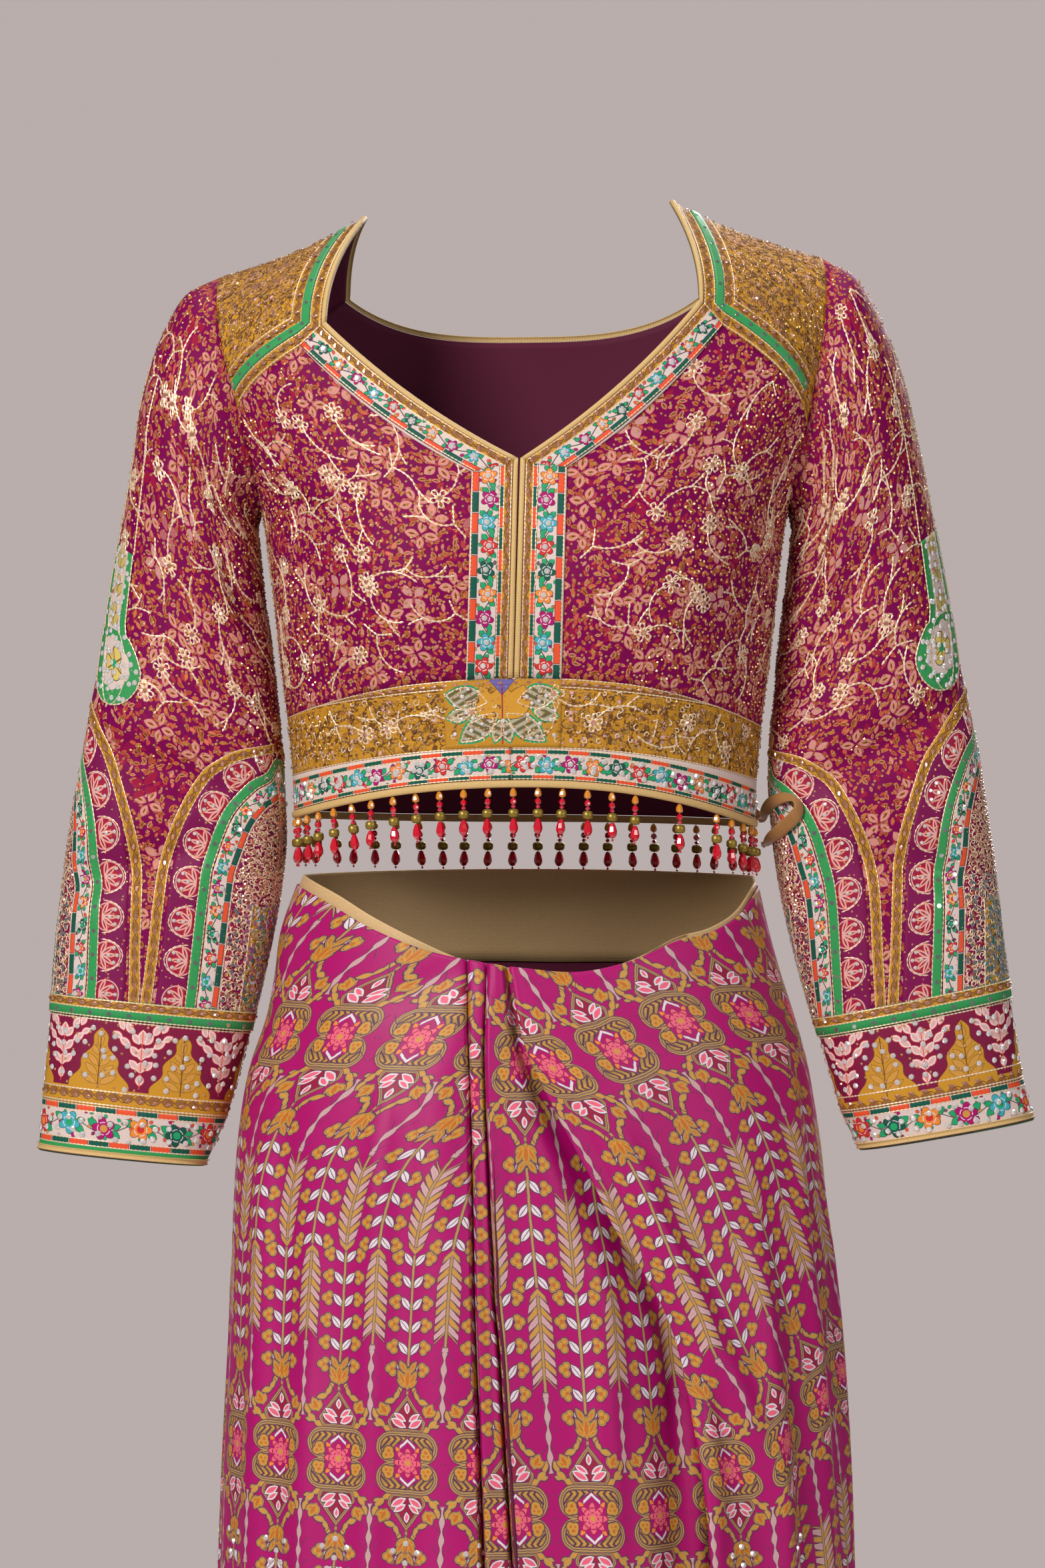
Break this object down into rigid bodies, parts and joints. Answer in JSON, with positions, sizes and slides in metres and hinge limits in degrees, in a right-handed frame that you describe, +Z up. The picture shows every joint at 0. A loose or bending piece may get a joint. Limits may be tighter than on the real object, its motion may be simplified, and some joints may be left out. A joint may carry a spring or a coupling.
{
  "type": "saree with long-sleeved blouse, as worn",
  "caption": "Two-piece saree outfit as worn: a long-sleeved V-neck blouse with a bead fringe over a hollow wrapped and pleated skirt cloth that falls to the ankles.",
  "frame": {"origin": "middle of the wearer's waist, at the height of the saree cloth's upper edge at the side front", "axes": "+Z up; the front faces -Y; +X is the viewer's right when facing the front"},
  "size_m": [0.6231, 0.325, 1.4597],
  "materials": {
    "blouse_cloth": "plum-magenta silk covered in printed leaves, gold thread and beads",
    "yoke_cloth": "ochre silk with gold and brown embroidery",
    "green_band": "emerald silk ribbon with a soft sheen",
    "floral_border": "cream printed border with flowers, crystals and gold outlines",
    "piping": "cream-gold corded silk piping",
    "saree_cloth": "magenta silk crepe with a printed column ornament",
    "waist_tape": "plain beige tape",
    "ribbon": "camel satin ribbon",
    "beads": "faceted red, amber and olive-gold beads"
  },
  "bodies": {
    "root": {"back": "blouse_cloth", "front_left": "blouse_cloth", "front_right": "blouse_cloth", "sleeve_left": "blouse_cloth", "sleeve_right": "blouse_cloth", "cuff_band_left": "blouse_cloth", "cuff_band_right": "blouse_cloth", "yoke_left": "yoke_cloth", "yoke_right": "yoke_cloth", "hem_band_front_left": "yoke_cloth", "hem_band_front_right": "yoke_cloth", "hem_band_back": "yoke_cloth", "yoke_band_left": "green_band", "yoke_band_right": "green_band", "cuff_trim_left": "green_band", "cuff_trim_right": "green_band", "neck_border_left": "floral_border", "neck_border_right": "floral_border", "placket_border_left": "floral_border", "placket_border_right": "floral_border", "cuff_border_left": "floral_border", "cuff_border_right": "floral_border", "hem_border_front_left": "floral_border", "hem_border_front_right": "floral_border", "hem_border_back": "floral_border", "collar_piping": "piping", "neck_piping_left": "piping", "neck_piping_right": "piping", "placket_piping_left": "piping", "placket_piping_right": "piping", "cuff_piping_left": "piping", "cuff_piping_right": "piping", "drape_left": "saree_cloth", "drape_pleat": "saree_cloth", "drape_centre": "saree_cloth", "drape_right": "saree_cloth", "drape_back": "saree_cloth", "waist_tape": "waist_tape", "tie_loop": "ribbon", "tie_knot": "ribbon", "fringe_front": "beads", "fringe_back": "beads"}
  },
  "joints": []
}
